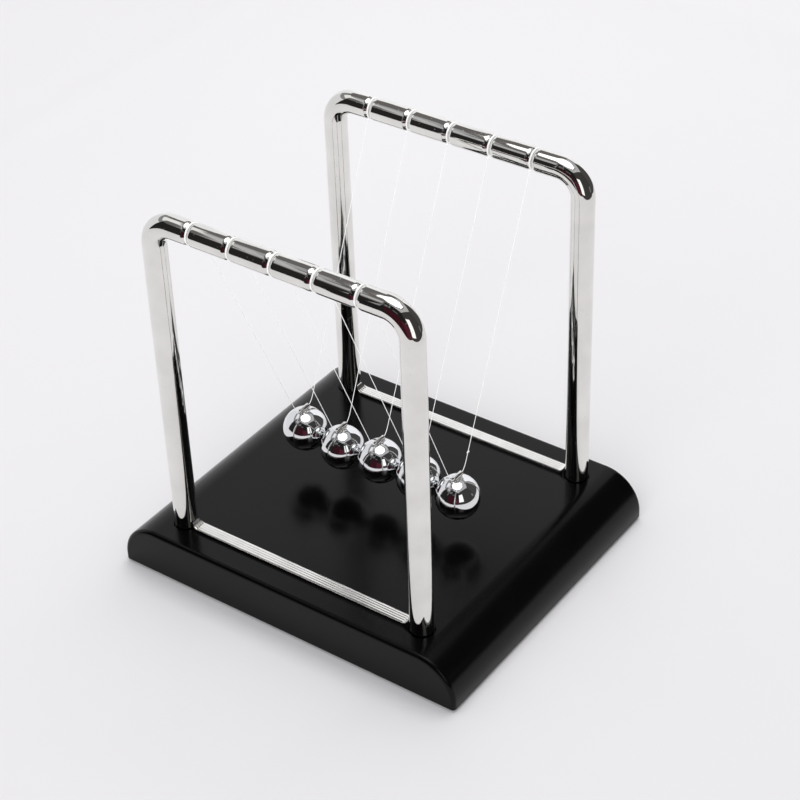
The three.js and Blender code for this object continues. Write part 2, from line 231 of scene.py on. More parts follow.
def skin(rings, start_tip=None, end_tip=None):
    """Closed surface over rings of equally many points, each end closed by a flat face or a tip.
    Its UVs run round each ring and, in metres, along the rings."""
    shape = bmesh.new()
    uv_layer = shape.loops.layers.uv.new("UVMap")
    count = len(rings[0])
    rows = [[shape.verts.new(p) for p in ring] for ring in rings]
    travel = [0.0]
    for near, far in zip(rings, rings[1:]):
        travel.append(travel[-1] + max((a - b).length for a, b in zip(near, far)))
    for i in range(len(rows) - 1):
        for j in range(count):
            k = (j + 1) % count
            face = shape.faces.new((rows[i][j], rows[i][k], rows[i + 1][k], rows[i + 1][j]))
            marks = ((j, i), (j + 1, i), (j + 1, i + 1), (j, i + 1))
            for loop, (u, v) in zip(face.loops, marks):
                loop[uv_layer].uv = (u / count, travel[v])
    for row, tip in ((rows[0], start_tip), (rows[-1], end_tip)):
        if tip is None:
            shape.faces.new(row)
            continue
        point = shape.verts.new(tip)
        for j in range(count):
            shape.faces.new((row[j], row[(j + 1) % count], point))
    bmesh.ops.recalc_face_normals(shape, faces=shape.faces)
    return shape


def hollow_skin(outlines):
    """Closed surface over closed outlines that go once round an axis, as in a pipe."""
    shape = bmesh.new()
    columns = [[shape.verts.new(p) for p in outline] for outline in outlines]
    for j, here in enumerate(columns):
        there = columns[(j + 1) % len(columns)]
        for k in range(len(here)):
            m = (k + 1) % len(here)
            shape.faces.new((here[k], here[m], there[m], there[k]))
    bmesh.ops.recalc_face_normals(shape, faces=shape.faces)
    return shape


def mesh_from(name, *shapes):
    """One mesh of several closed surfaces."""
    whole = bmesh.new()
    mesh = bpy.data.meshes.new(name)
    for shape in shapes:
        shape.to_mesh(mesh)
        whole.from_mesh(mesh)
        shape.free()
    whole.to_mesh(mesh)
    whole.free()
    return mesh


def arc(start, end, steps):
    """Angles in radians, from start to end in degrees."""
    return [math.radians(start + (end - start) * i / steps) for i in range(steps + 1)]


def arc_points(centre_a, centre_b, radius, start, end, steps):
    angles = arc(start, end, steps)
    return [(centre_a + radius * math.cos(a), centre_b + radius * math.sin(a)) for a in angles]


def circle(centre, axis_a, axis_b, radius, sides):
    turn = 2 * math.pi / sides
    return [
        centre + (axis_a * math.cos(turn * i) + axis_b * math.sin(turn * i)) * radius
        for i in range(sides)
    ]


def turned(profile, centre, sides):
    """Upright turned piece; the profile runs from axis to axis as (radius, height)."""
    x, y, up = Vector((1, 0, 0)), Vector((0, 1, 0)), Vector((0, 0, 1))
    rings = [circle(centre + up * z, x, y, r, sides) for r, z in profile[1:-1]]
    return skin(rings, centre + up * profile[0][1], centre + up * profile[-1][1])


def pillar(radius, bottom, top, x, y, sides):
    return turned([(0, bottom), (radius, bottom), (radius, top), (0, top)], Vector((x, y, 0)), sides)


def tube_along(points, radius, sides=12):
    """Round tube along a path, with its section carried along without twist."""
    rings = []
    last = len(points) - 1
    side = None
    for i, point in enumerate(points):
        ahead = (points[min(i + 1, last)] - points[max(i - 1, 0)]).normalized()
        if side is None:
            side = ahead.orthogonal().normalized()
        side = (side - ahead * side.dot(ahead)).normalized()
        rings.append(circle(point, side, ahead.cross(side), radius, sides))
    return skin(rings)


def cut_with(target, tool):
    """Takes one object away from another."""
    modifier = target.modifiers.new("cut", "BOOLEAN")
    modifier.operation = "DIFFERENCE"
    modifier.solver = "EXACT"
    modifier.object = tool
    graph = bpy.context.evaluated_depsgraph_get()
    result = bpy.data.meshes.new_from_object(target.evaluated_get(graph))
    target.modifiers.clear()
    target.data = result
    bpy.data.objects.remove(tool)


def cut(target, shape, name):
    """Takes a closed shape away from an object."""
    tool = bpy.data.objects.new(name, mesh_from(name, shape))
    bpy.context.scene.collection.objects.link(tool)
    cut_with(target, tool)


def smoothstep(t):
    t = min(max(t, 0), 1)
    return t * t * (3 - 2 * t)


def finish_piece(piece, material, slot, body, *nodes):
    piece.data.materials.clear()
    piece.data.materials.append(material)
    if nodes:
        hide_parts(*nodes)
    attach(piece, body)


# ---------------------------------------------------------------- materials

# The values that most of a noise texture lies between.
NOISE_LOW = 0.3
NOISE_HIGH = 0.7


class Finish:
    """A material with one Principled shader and small helpers for its nodes."""

    def __init__(self, name, **constants):
        self.material = bpy.data.materials.new(name)
        self.material.use_nodes = True
        self.tree = self.material.node_tree
        self.shader = self.tree.nodes["Principled BSDF"]
        for key, value in constants.items():
            self.shader.inputs[key.replace("_", " ")].default_value = value

    def node(self, kind, inputs=None, **settings):
        made = self.tree.nodes.new(kind)
        for key, value in settings.items():
            setattr(made, key, value)
        for key, value in (inputs or {}).items():
            if isinstance(value, bpy.types.NodeSocket):
                self.tree.links.new(value, made.inputs[key])
            else:
                made.inputs[key].default_value = value
        return made

    def place(self, stretch=(1, 1, 1), kind="Object"):
        source = self.node("ShaderNodeTexCoord").outputs[kind]
        return self.node("ShaderNodeMapping", {"Vector": source, "Scale": stretch}).outputs["Vector"]

    def noise(self, scale, detail, stretch=(1, 1, 1), roughness=0.5, kind="Object"):
        where = self.place(stretch, kind)
        inputs = {"Vector": where, "Scale": scale, "Detail": detail, "Roughness": roughness}
        return self.node("ShaderNodeTexNoise", inputs).outputs["Fac"]

    def spread(self, value, low, high, to_low, to_high, kind="LINEAR"):
        inputs = {"Value": value, "From Min": low, "From Max": high, "To Min": to_low, "To Max": to_high}
        return self.node("ShaderNodeMapRange", inputs, interpolation_type=kind).outputs["Result"]

    def between(self, noise, to_low, to_high):
        """A noise as a number that reaches both to_low and to_high."""
        return self.spread(noise, NOISE_LOW, NOISE_HIGH, to_low, to_high)

    def math(self, operation, a, b):
        return self.node("ShaderNodeMath", {0: a, 1: b}, operation=operation).outputs[0]

    def vector_math(self, operation, a, b=(0, 0, 0)):
        made = self.node("ShaderNodeVectorMath", {0: a, 1: b}, operation=operation)
        return made.outputs["Value"]

    def blend(self, factor, first, second):
        made = self.node("ShaderNodeMix", {"Factor": factor}, data_type="RGBA")
        for socket, value in ((made.inputs[6], first), (made.inputs[7], second)):
            if isinstance(value, bpy.types.NodeSocket):
                self.tree.links.new(value, socket)
            else:
                socket.default_value = (*value, 1)
        return made.outputs[2]

    def bump(self, height, distance, below=None):
        inputs = {"Height": height, "Distance": distance}
        if below is not None:
            inputs["Normal"] = below
        return self.node("ShaderNodeBump", inputs).outputs["Normal"]

    def set(self, name, socket):
        self.tree.links.new(socket, self.shader.inputs[name])


def frame_chrome(name, smoothest, roughest):
    """Chrome plate with a faint cloud, soft waves, draw lines along the tube and a few pits."""
    finish = Finish(name, Metallic=1.0)
    cloud = finish.between(finish.noise(160, 4), 0, 1)
    finish.set("Base Color", finish.blend(cloud, (0.76, 0.752, 0.72), (0.85, 0.843, 0.81)))
    smear = finish.noise(420, 5, (1, 1, 0.25))
    finish.set("Roughness", finish.spread(smear, 0.35, 0.7, smoothest, roughest))
    waves = finish.bump(finish.noise(130, 1, (1, 1, 0.35)), 0.03 * MM)
    draw_lines = finish.bump(finish.noise(14, 2, (1, 8, 1), kind="UV"), 0.01 * MM, waves)
    pits = finish.spread(finish.noise(2600, 1), 0.765, 0.82, 0, 1)
    finish.set("Normal", finish.bump(pits, 0.02 * MM, draw_lines))
    return finish.material


def ball_chrome():
    """Mirror polish, and rough grey scale on the weld, which stands out past the ball's radius."""
    finish = Finish("ball_chrome")
    distance = finish.vector_math("LENGTH", finish.place())
    weld = finish.spread(distance, 5.07 * MM, 5.11 * MM, 0, 1, "SMOOTHSTEP")
    polish = finish.blend(finish.noise(500, 4), (0.76, 0.77, 0.78), (0.84, 0.85, 0.86))
    scale = finish.blend(finish.noise(2200, 4), (0.42, 0.41, 0.4), (0.8, 0.79, 0.77))
    finish.set("Base Color", finish.blend(weld, polish, scale))
    finish.set("Metallic", finish.spread(weld, 0, 1, 1, 0.85))
    smears = finish.spread(finish.noise(900, 5, (1, 1, 0.3)), 0.4, 0.75, 0.012, 0.05)
    finish.set("Roughness", finish.math("ADD", smears, finish.math("MULTIPLY", weld, 0.1)))
    beads = finish.math("MULTIPLY", finish.noise(2600, 4), weld)
    finish.set("Normal", finish.bump(beads, 0.14 * MM))
    return finish.material


def tube_steel():
    finish = Finish("tube_steel", Metallic=1.0)
    tint = finish.spread(finish.noise(900, 3), 0.35, 0.65, 0, 1)
    finish.set("Base Color", finish.blend(tint, (0.6, 0.585, 0.56), (0.88, 0.87, 0.85)))
    drawn = finish.noise(4200, 3, (1, 0.08, 1))
    finish.set("Roughness", finish.between(drawn, 0.04, 0.13))
    finish.set("Normal", finish.bump(drawn, 0.015 * MM))
    return finish.material


def base_plastic():
    """Gloss black moulding with a slight haze and a few specks of dust."""
    finish = Finish("base_plastic", IOR=1.26)
    cloud = finish.between(finish.noise(60, 5), 0, 1)
    body = finish.blend(cloud, (0.0009, 0.0009, 0.001), (0.0018, 0.0018, 0.0019))
    cells = finish.node("ShaderNodeTexVoronoi", {"Vector": finish.place(), "Scale": 210.0}, feature="F1")
    split = finish.node("ShaderNodeSeparateColor", {"Color": cells.outputs["Color"]})
    near = finish.spread(cells.outputs["Distance"], 0.02, 0.035, 1, 0)
    chosen = finish.spread(split.outputs["Red"], 0.982, 0.984, 0, 1)
    dust = finish.math("MULTIPLY", near, chosen)
    finish.set("Base Color", finish.blend(dust, body, (0.32, 0.31, 0.30)))
    haze = finish.between(finish.noise(45, 6, roughness=0.6), 0.16, 0.22)
    finish.set("Roughness", finish.math("ADD", haze, finish.math("MULTIPLY", dust, 0.5)))
    finish.set("Normal", finish.bump(finish.noise(1500, 2), 0.0025 * MM))
    return finish.material


def matt_finish(name, ior, shade_noise, darkest, lightest, grain_noise, roughness, height):
    """Dull material with a mottled colour and a fine grain."""
    finish = Finish(name, IOR=ior)
    grain = finish.noise(*grain_noise)
    finish.set("Base Color", finish.blend(finish.noise(*shade_noise), darkest, lightest))
    finish.set("Roughness", finish.between(grain, *roughness))
    finish.set("Normal", finish.bump(grain, height))
    return finish.material


def cover_plastic():
    return matt_finish(
        "cover_plastic", 1.48, (70, 4), (0.016, 0.016, 0.017), (0.03, 0.03, 0.031),
        (2400, 3), (0.5, 0.72), 0.04 * MM,
    )


def foot_rubber():
    return matt_finish(
        "foot_rubber", 1.45, (250, 3), (0.012, 0.012, 0.012), (0.028, 0.027, 0.026),
        (3200, 4), (0.7, 0.95), 0.03 * MM,
    )


def screw_zinc():
    finish = Finish("screw_zinc", Metallic=1.0)
    finish.set("Base Color", finish.blend(finish.noise(700, 4), (0.42, 0.43, 0.41), (0.66, 0.67, 0.64)))
    turned_marks = finish.noise(2600, 3)
    finish.set("Roughness", finish.between(turned_marks, 0.28, 0.5))
    finish.set("Normal", finish.bump(turned_marks, 0.02 * MM))
    return finish.material


def nylon():
    """Clear line; its slight glow is painted light, which stands for the light that it carries along."""
    # The emission strength is a painted glow, not a lamp.
    finish = Finish("nylon_line", IOR=1.53, Transmission_Weight=0.1, Emission_Strength=0.17)
    finish.set("Base Color", finish.blend(finish.noise(900, 2), (0.93, 0.94, 0.93), (0.97, 0.97, 0.96)))
    finish.set("Roughness", finish.between(finish.noise(1800, 2), 0.12, 0.28))
    return finish.material


# ---------------------------------------------------------------- base

def mirrored(side):
    """A right-hand side, from bottom to top, made whole with its mirror image."""
    return side + [(-x, z) for x, z in reversed(side)]


def base_outline(inset, lift):
    """Closed outline as (x, z): quarter-round ends, flat top, slightly rounded lower edges."""
    half = BASE_SIZE.x / 2 - inset
    radius = BASE_END_RADIUS - inset
    corner = BASE_LOWER_EDGE
    top = BASE_TOP - inset
    side = arc_points(half - corner, BASE_BOTTOM + lift + corner, corner, -90, 0, steps=4)
    side += arc_points(half - radius, top - radius, radius, 0, 90, steps=36)
    side.append((half - radius - SHADING_STRIP, top))
    return mirrored(side)


def base_body():
    """The solid outside, as outlines that shrink round both faces' rims."""
    half = BASE_SIZE.y / 2
    stations = [(0, BASE_EDGE + SHADING_STRIP, BASE_LOWER_EDGE + SHADING_STRIP)]
    for t in arc(0, 90, steps=9):
        away = BASE_EDGE * (1 - math.cos(t))
        inset = BASE_EDGE * (1 - math.sin(t))
        gap = max(BASE_LOWER_EDGE - away, 0)
        lift = BASE_LOWER_EDGE - math.sqrt(BASE_LOWER_EDGE**2 - gap**2)
        stations.append((away, inset, lift))
    stations.append((BASE_EDGE + SHADING_STRIP, 0, 0))
    front = [
        [Vector((x, away - half, z)) for x, z in base_outline(inset, lift)]
        for away, inset, lift in stations
    ]
    back = [[Vector((p.x, -p.y, p.z)) for p in ring] for ring in reversed(front)]
    return skin(front + back)


def rounded_slab(half_x, half_y, radius, bottom, top):
    plan = []
    for sx, sy, start in ((1, 1, 0), (-1, 1, 90), (-1, -1, 180), (1, -1, 270)):
        corner_x, corner_y = sx * (half_x - radius), sy * (half_y - radius)
        plan += arc_points(corner_x, corner_y, radius, start, start + 90, steps=8)
    return skin([[Vector((x, y, z)) for x, y in plan] for z in (bottom, top)])


def post_places():
    spots = []
    for node in FRAMES:
        low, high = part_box(node)
        radius = size(node).y / 2
        y = middle(node).y
        spots += [(low.x + radius, y), (high.x - radius, y)]
    return spots


def base_hollow():
    """The space inside, with the sockets and bosses left standing."""
    half = BASE_SIZE.x / 2 - BASE_WALL
    depth = BASE_SIZE.y / 2 - BASE_WALL
    radius = BASE_END_RADIUS - BASE_WALL
    top = BASE_TOP - BASE_TOP_WALL
    outline = mirrored([(half, 0)] + arc_points(half - radius, top - radius, radius, 0, 90, steps=16))
    shape = skin([[Vector((x, y, z)) for x, z in outline] for y in (-depth, depth)])
    hollow = add_object("base_hollow", mesh_from("base_hollow", shape), sharp_angle=32)
    for x, y in post_places():
        cut(hollow, pillar(SOCKET_RADIUS, SOCKET_BOTTOM, BASE_TOP, x, y, sides=48), "socket")
    for i in CORNERS:
        place = middle(f"cover_screw_{i}")
        cut(hollow, pillar(COVER_BOSS_RADIUS, COVER_TOP, BASE_TOP, place.x, place.y, sides=40), "boss")
    return hollow


def post_hole(x, y):
    """Cutter for a stepped post hole with a rounded lip."""
    bottom = -PEG_DEPTH - PEG_GAP
    lip_middle = HOLE_LIP * 0.3
    profile = [
        (0, bottom),
        (PEG_RADIUS + PEG_GAP, bottom),
        (PEG_RADIUS + PEG_GAP, -SHOULDER_DEPTH),
        (HOLE_RADIUS, -SHOULDER_DEPTH),
        (HOLE_RADIUS, -HOLE_LIP),
        (HOLE_RADIUS + lip_middle, -lip_middle),
        (HOLE_RADIUS + HOLE_LIP, 0),
        (HOLE_RADIUS + HOLE_LIP, MM),
        (0, MM),
    ]
    return turned(profile, Vector((x, y, BASE_TOP)), sides=72)


def make_base(material):
    base = add_object("base", mesh_from("base", base_body()), sharp_angle=32)
    cut_with(base, base_hollow())
    half_x, half_y = BASE_SIZE.x / 2 - COVER_RIM, BASE_SIZE.y / 2 - COVER_RIM
    rebate_radius = BASE_CORNER_RADIUS - COVER_RIM
    cut(base, rounded_slab(half_x, half_y, rebate_radius, -MM, COVER_TOP + SHADING_STRIP), "rebate")
    for x, y in post_places():
        cut(base, post_hole(x, y), "hole")
    shade_smooth(base.data, sharp_angle=18)
    finish_piece(base, material, "base_plastic", "stand", "base_shell")


# ---------------------------------------------------------------- frames

def groove_dip(x, groove_places):
    """How far the bar's surface is below its full radius at x."""
    away = min(abs(x - place) for place in groove_places)
    return GROOVE_DEPTH * math.exp(-((away / GROOVE_SPREAD) ** 2))


def post_profile(radius):
    """A post's peg and foot as (height over the base, radius)."""
    return [
        (-PEG_DEPTH, PEG_RADIUS - PEG_TIP_TAPER),
        (-PEG_DEPTH + PEG_TIP_HEIGHT, PEG_RADIUS),
        (PEG_TOP, PEG_RADIUS),
        (NECK_BOTTOM, radius - NECK_INSET),
        *((height, radius + swell) for height, swell in POST_FOOT),
    ]


def frame_stations(half_span, bar_z, radius, groove_places):
    """The frame's path from one peg to the other as (x, z, outward x, outward z, radius)."""
    bend_x, bend_z = half_span - BEND_RADIUS, bar_z - BEND_RADIUS
    left = [(-half_span, BASE_TOP + z, -1, 0, r) for z, r in post_profile(radius)]
    left += [(-half_span, bend_z - below, -1, 0, radius) for below in POST_STATIONS]
    for a in arc(0, 90, steps=28):
        out_x, out_z = -math.cos(a), math.sin(a)
        left.append((-bend_x + BEND_RADIUS * out_x, bend_z + BEND_RADIUS * out_z, out_x, out_z, radius))
    steps = range(-GROOVE_STEPS, GROOVE_STEPS + 1)
    bar_points = sorted({round(place + step * GROOVE_STEP, 7) for place in groove_places for step in steps})
    bar = [(x, bar_z, 0, 1, radius - groove_dip(x, groove_places)) for x in bar_points]
    right = [(-x, z, -out_x, out_z, r) for x, z, out_x, out_z, r in reversed(left)]
    return left + bar + right


def make_frame(node, material, sill_material):
    radius = size(node).y / 2
    centre = middle(node)
    half_span = size(node).x / 2 - radius
    bar_z = CAD_HIGH.z - radius
    groove_places = [middle(f"ball_{i}").x - centre.x for i in BALLS]
    across = Vector((0, 1, 0))
    rings = []
    for x, z, out_x, out_z, r in frame_stations(half_span, bar_z, radius, groove_places):
        place = Vector((centre.x + x, centre.y, z))
        rings.append(circle(place, Vector((out_x, 0, out_z)), across, r, FRAME_SIDES))
    tube = add_object(node + "_loop", mesh_from(node, skin(rings)), sharp_angle=50)
    finish_piece(tube, material, "frame_chrome", "stand", node)
    make_sill(node, sill_material, centre, half_span - radius)


def sill_profile():
    """Top of the sill's section from rear to front as (y, drop), with three fine grooves along it."""
    half = SILL_WIDTH / 2
    rear = [(half, 0.16 * MM), (half - 0.05 * MM, 0.05 * MM), (half - 0.16 * MM, 0)]
    grooves = []
    for y in (SILL_LINE_PITCH, 0, -SILL_LINE_PITCH):
        grooves += [(y + SILL_LINE, 0), (y, SILL_LINE_DEPTH), (y - SILL_LINE, 0)]
    return rear + grooves + [(-y, drop) for y, drop in reversed(rear)]


def make_sill(node, material, centre, clear):
    """Flat strip between the feet, rising in a narrowing concave web where it meets each post."""
    web = []
    for a in arc(0, 90, steps=12):
        web.append((clear - SILL_FILLET * (1 - math.sin(a)), SILL_FILLET * (1 - math.cos(a))))
    web.append((clear + SILL_OVERLAP, SILL_FILLET))
    half = SILL_WIDTH / 2
    bottom = BASE_TOP + SILL_GAP
    profile = sill_profile()
    rings = []
    for x, rise in [(-x, rise) for x, rise in reversed(web)] + web:
        top = BASE_TOP + SILL_HEIGHT + rise
        depth = max(1 - rise / SILL_LINE_FADE, 0)
        narrow = 1 - SILL_END_NARROWING * rise / SILL_FILLET
        section = [(-half * narrow, bottom), (half * narrow, bottom)]
        section += [(y * narrow, top - drop * depth) for y, drop in profile]
        rings.append([Vector((centre.x + x, centre.y + y, z)) for y, z in section])
    sill = add_object(node + "_sill", mesh_from(node + "_sill", skin(rings)), sharp_angle=40)
    finish_piece(sill, material, "frame_chrome", "stand")


# ---------------------------------------------------------------- balls, tubes and lines

def weld_height(x, y, i):
    """Height of the weld bead round the foot of a ball's tube."""
    turn = math.atan2(y, x)
    ripple = sum(high * math.sin(count * turn + shift * i) for count, high, shift in WELD_WAVES)
    reach = math.hypot(x / WELD_REACH[0], y / WELD_REACH[1]) + ripple
    return WELD_HEIGHT * (1 - smoothstep((reach - WELD_FLAT) / WELD_SLOPE))


def make_ball(i, material):
    """A ball with its weld; the rings are close together under the weld and wider below it."""
    radius = size(f"ball_{i}").z / 2
    across, along = Vector((1, 0, 0)), Vector((0, 1, 0))
    tilts = [WELD_TILT_STEP * k for k in range(1, round(WELD_TILT / WELD_TILT_STEP))]
    tilts += range(WELD_TILT, 180, BALL_TILT_STEP)
    rings = []
    for tilt in tilts:
        flat, up = radius * math.sin(math.radians(tilt)), radius * math.cos(math.radians(tilt))
        ring = circle(Vector((0, 0, up)), across, along, flat, BALL_SIDES)
        if tilt < WELD_TILT:
            ring = [p * (1 + weld_height(p.x, p.y, i) / radius) for p in ring]
        rings.append(ring)
    top = Vector((0, 0, radius + weld_height(0, 0, i)))
    bottom = Vector((0, 0, -radius))
    ball = add_object(f"steel_ball_{i}", mesh_from("ball", skin(rings, top, bottom)), sharp_angle=60)
    ball.location = middle(f"ball_{i}")
    finish_piece(ball, material, "ball_steel", f"ball_{i}_pendulum", f"ball_{i}")


def tube_section(length, outside):
    """Closed outline of the tube's wall as (radius, place along the tube), all edges rounded."""
    end = length / 2 - TUBE_EDGE
    half = arc_points(outside - TUBE_EDGE, end, TUBE_EDGE, 0, 90, steps=4)
    half += arc_points(TUBE_BORE + TUBE_EDGE, end, TUBE_EDGE, 90, 180, steps=4)
    return half + [(r, -y) for r, y in reversed(half)]


def make_tube(i, material):
    node = f"hanger_tube_{i}"
    outside = size(node).x / 2
    centre = middle(node)
    centre.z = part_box(node)[1].z - outside
    section = tube_section(size(node).y, outside)
    outlines = []
    for j in range(TUBE_SIDES):
        turn = 2 * math.pi * j / TUBE_SIDES
        dent = 1 + TUBE_DENT * math.sin(3 * turn + i)
        out_x, out_z = dent * math.cos(turn), dent * math.sin(turn)
        outlines.append([centre + Vector((r * out_x, y, r * out_z)) for r, y in section])
    tube = add_object(f"weld_tube_{i}", mesh_from(node, hollow_skin(outlines)), sharp_angle=50)
    finish_piece(tube, material, "tube_steel", f"ball_{i}_pendulum", node)


def half_line(i):
    """Points in Y and Z from the tube's end up to the pivot."""
    tube_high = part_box(f"hanger_tube_{i}")[1]
    line_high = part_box(f"line_{i}")[1]
    tube_z = tube_high.z - size(f"hanger_tube_{i}").x / 2
    start = Vector((tube_high.y, tube_z))
    corner = Vector((tube_high.y + LINE_REACH, tube_z))
    top = Vector((line_high.y, line_high.z)) - CAD_LINE_ACROSS * CAD_LINE_RADIUS
    turn = corner.lerp(top, LINE_BEND / (top - corner).length)
    points = []
    for k in range(LINE_BEND_STEPS + 1):
        t = k / LINE_BEND_STEPS
        points.append(start * (1 - t) ** 2 + corner * 2 * t * (1 - t) + turn * t * t)
    return points + [turn.lerp(top, s) for s in (0.25, 0.5, 0.75, 1)]


def knot_path(centre, along, radius):
    """A small knot: once round the line, swaying in and out and to and fro along it."""
    side = along.orthogonal().normalized()
    other = along.cross(side)
    points = []
    for k in range(KNOT_STEPS + 1):
        t = 2 * math.pi * k / KNOT_STEPS
        ring = radius * (1 - KNOT_SWAY + KNOT_SWAY * math.cos(KNOT_WAVES * t))
        swing = side * math.cos(t) + other * math.sin(t)
        points.append(centre + swing * ring + along * radius * KNOT_LENGTH * math.sin(KNOT_WAVES * t))
    return points


def make_line(i, material):
    x = middle(f"line_{i}").x
    half = half_line(i)
    rear = [Vector((x, p.x, p.y)) for p in half]
    front = [Vector((x, -p.x, p.y)) for p in reversed(half)]
    shapes = [tube_along(front + rear, LINE_RADIUS)]
    if i == BALLS[-1]:
        straight = rear[LINE_BEND_STEPS]
        away = (rear[-1] - straight).normalized()
        splice = knot_path(straight + away * (SPLICE_RISE - LINE_BEND), away, SPLICE_RADIUS)
        shapes.append(tube_along(splice, SPLICE_LINE_RADIUS, sides=10))
    line = add_object(f"nylon_line_{i}", mesh_from(f"nylon_line_{i}", *shapes), sharp_angle=60)
    finish_piece(line, material, "nylon_line", f"ball_{i}_pendulum", f"line_{i}")


def loop_turns(centre, inward):
    points = []
    for k in range(LOOP_STEPS + 1):
        t = k / LOOP_STEPS
        angle = -KNOT_ANGLE + 2 * math.pi * LOOP_TURNS * t
        across = inward * LOOP_RADIUS * math.cos(angle)
        points.append(centre + Vector(((t - 0.5) * LOOP_WIDTH, across, LOOP_RADIUS * math.sin(angle))))
    return points


def knot_tail(knot, inward):
    """The cut end of the line, which curves up out of the knot."""
    points = []
    for t in (0, 0.3, 0.6, 1):
        out = Vector((TAIL_START + TAIL_REACH.x * t, inward * TAIL_REACH.y * t, TAIL_REACH.z * t * t))
        points.append(knot + out)
    return points


def make_loop(side, i, material):
    """Two turns of line in the groove, drawn into a knot on the side that faces the balls."""
    node = f"{side}_loop_{i}"
    inward = 1 if side == "front" else -1
    bar_z = CAD_HIGH.z - size(f"{side}_frame").y / 2
    centre = Vector((middle(f"ball_{i}").x, middle(f"{side}_frame").y, bar_z))
    knot = centre + Vector((0, inward * math.cos(KNOT_ANGLE), -math.sin(KNOT_ANGLE))) * KNOT_REACH
    along = Vector((KNOT_DIRECTION.x, inward * KNOT_DIRECTION.y, KNOT_DIRECTION.z))
    shapes = [
        tube_along(loop_turns(centre, inward), LOOP_LINE_RADIUS),
        tube_along(knot_path(knot, along, KNOT_RADIUS), KNOT_LINE_RADIUS, sides=10),
        tube_along(knot_tail(knot, inward), LOOP_LINE_RADIUS, sides=10),
    ]
    loop = add_object(f"{side}_line_loop_{i}", mesh_from(node, *shapes), sharp_angle=60)
    finish_piece(loop, material, "nylon_line", "stand", node)


# ---------------------------------------------------------------- feet, cover and screws

def make_foot(i, material):
    """A rubber foot, slightly dished below and rounded at its rim."""
    node = f"rubber_foot_{i}"
    radius = size(node).x / 2
    thick = size(node).z
    profile = [(0, FOOT_DISH), (radius * 0.55, FOOT_DISH / 2), (radius * 0.7, 0)]
    profile += arc_points(radius - FOOT_EDGE, FOOT_EDGE, FOOT_EDGE, -90, 0, steps=6)
    profile += [(radius, thick), (0, thick)]
    place = middle(node)
    place.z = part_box(node)[0].z
    foot = add_object(f"foot_{i}", mesh_from(node, turned(profile, place, sides=64)), sharp_angle=50)
    finish_piece(foot, material, "foot_rubber", "stand", node)


def paint(node, material):
    """Gives a node that is carried over from the CAD its material."""
    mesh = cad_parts[node].data
    mesh.materials.clear()
    mesh.materials.append(material)


# ---------------------------------------------------------------- studio

SKY_COLOUR = (0.97, 0.97, 1, 1)
SKY_STRENGTH = 0.62
FLOOR_REACH = 6

PAPER = Vector((0.843, 0.83, 0.838))
PAPER_MOTTLE = 0.985
# Painted shade: the paper's colour darkens toward one side, where the light falls off; the direction, where
# it starts and ends, and how dark it gets.
PAPER_PAINTED_SHADE_DIRECTION = (0.6, -0.8, 0)
PAPER_PAINTED_SHADE_FROM = -0.28
PAPER_PAINTED_SHADE_TO = 0.14
PAPER_PAINTED_SHADE = 0.9

WHITE = (1, 0.995, 0.99)
GREY = (0.97, 0.97, 1)
DARK = (1, 0.95, 0.95)
MAROON = (1, 0.22, 0.36)

# Upright cards: name, one end (x, y), other end (x, y), lowest, highest, colour, strength; in millimetres
CARDS = (
    ("left_window", (-190, -89), (-190, 20), 215, 330, WHITE, 0.95),
    ("left_wall", (-205, -120), (-205, 100), 6, 175, GREY, 0.85),
    ("left_wall_top", (-206, -120), (-206, 100), 175, 290, GREY, 0.28),
    ("left_wall_middle", (-205, 100), (-205, 240), 6, 315, GREY, 1.0),
    ("left_wall_far", (-205, 240), (-205, 310), 6, 395, GREY, 1.1),
    ("left_panel", (-205, -60), (-205, -190), 335, 398, GREY, 0.55),
    ("corner_panel", (-205, -190), (-120, -225), 285, 398, GREY, 0.5),
    ("left_dark", (-430, -200), (-225, -470), 3, 760, DARK, 0.02),
    ("front_dark", (-112, -225), (190, -225), 3, 400, DARK, 0.015),
    ("front_maroon", (-55, -222), (70, -222), 12, 180, MAROON, 0.04),
    ("front_post", (-100, -223), (-88, -223), 150, 330, GREY, 0.3),
    ("front_block", (-70, -223), (-30, -223), 215, 300, GREY, 0.16),
    ("front_strip", (-20, -223), (-6, -223), 225, 345, GREY, 0.26),
    ("front_bar", (20, -223), (75, -223), 205, 232, GREY, 0.14),
    ("right_maroon", (70, -222), (180, -210), 8, 130, MAROON, 0.08),
    ("right_window", (150, -150), (184, -84), 50, 200, WHITE, 1.3),
    ("right_dark", (190, -225), (280, 180), 6, 400, DARK, 0.05),
    ("right_block", (258, -30), (258, 20), 40, 150, GREY, 0.55),
    ("right_high_block", (262, -60), (262, -20), 170, 300, GREY, 0.3),
    ("right_strip", (262, -110), (262, -100), 8, 380, WHITE, 0.7),
    ("right_bar", (255, -95), (255, 60), 205, 222, GREY, 0.6),
    ("right_low_block", (262, 25), (262, 58), 12, 90, GREY, 0.45),
    ("right_post", (262, 60), (262, 80), 20, 340, GREY, 0.4),
    ("right_far_block", (262, 90), (262, 140), 60, 120, GREY, 0.22),
    ("back_wall", (-205, 310), (60, 310), 6, 335, GREY, 1.1),
    ("back_right_dark", (60, 310), (280, 180), 22, 398, DARK, 0.07),
)

# Level cards: name, centre (x, y), half sizes (x, y), height, corners, colour, strength; in millimetres
ROOF_CARDS = (
    ("roof_light", (0, 0), (150, 150), 390, 8, WHITE, 1.8),
    ("roof_ring", (0, 0), (168, 168), 393, 8, DARK, 0.16),
    ("roof_panel", (-213, -80), (38, 70), 396, 4, GREY, 0.4),
    ("roof_right", (150, 40), (180, 260), 398, 4, GREY, 0.5),
    ("roof_edge", (0, 0), (420, 420), 400, 4, DARK, 0.15),
)

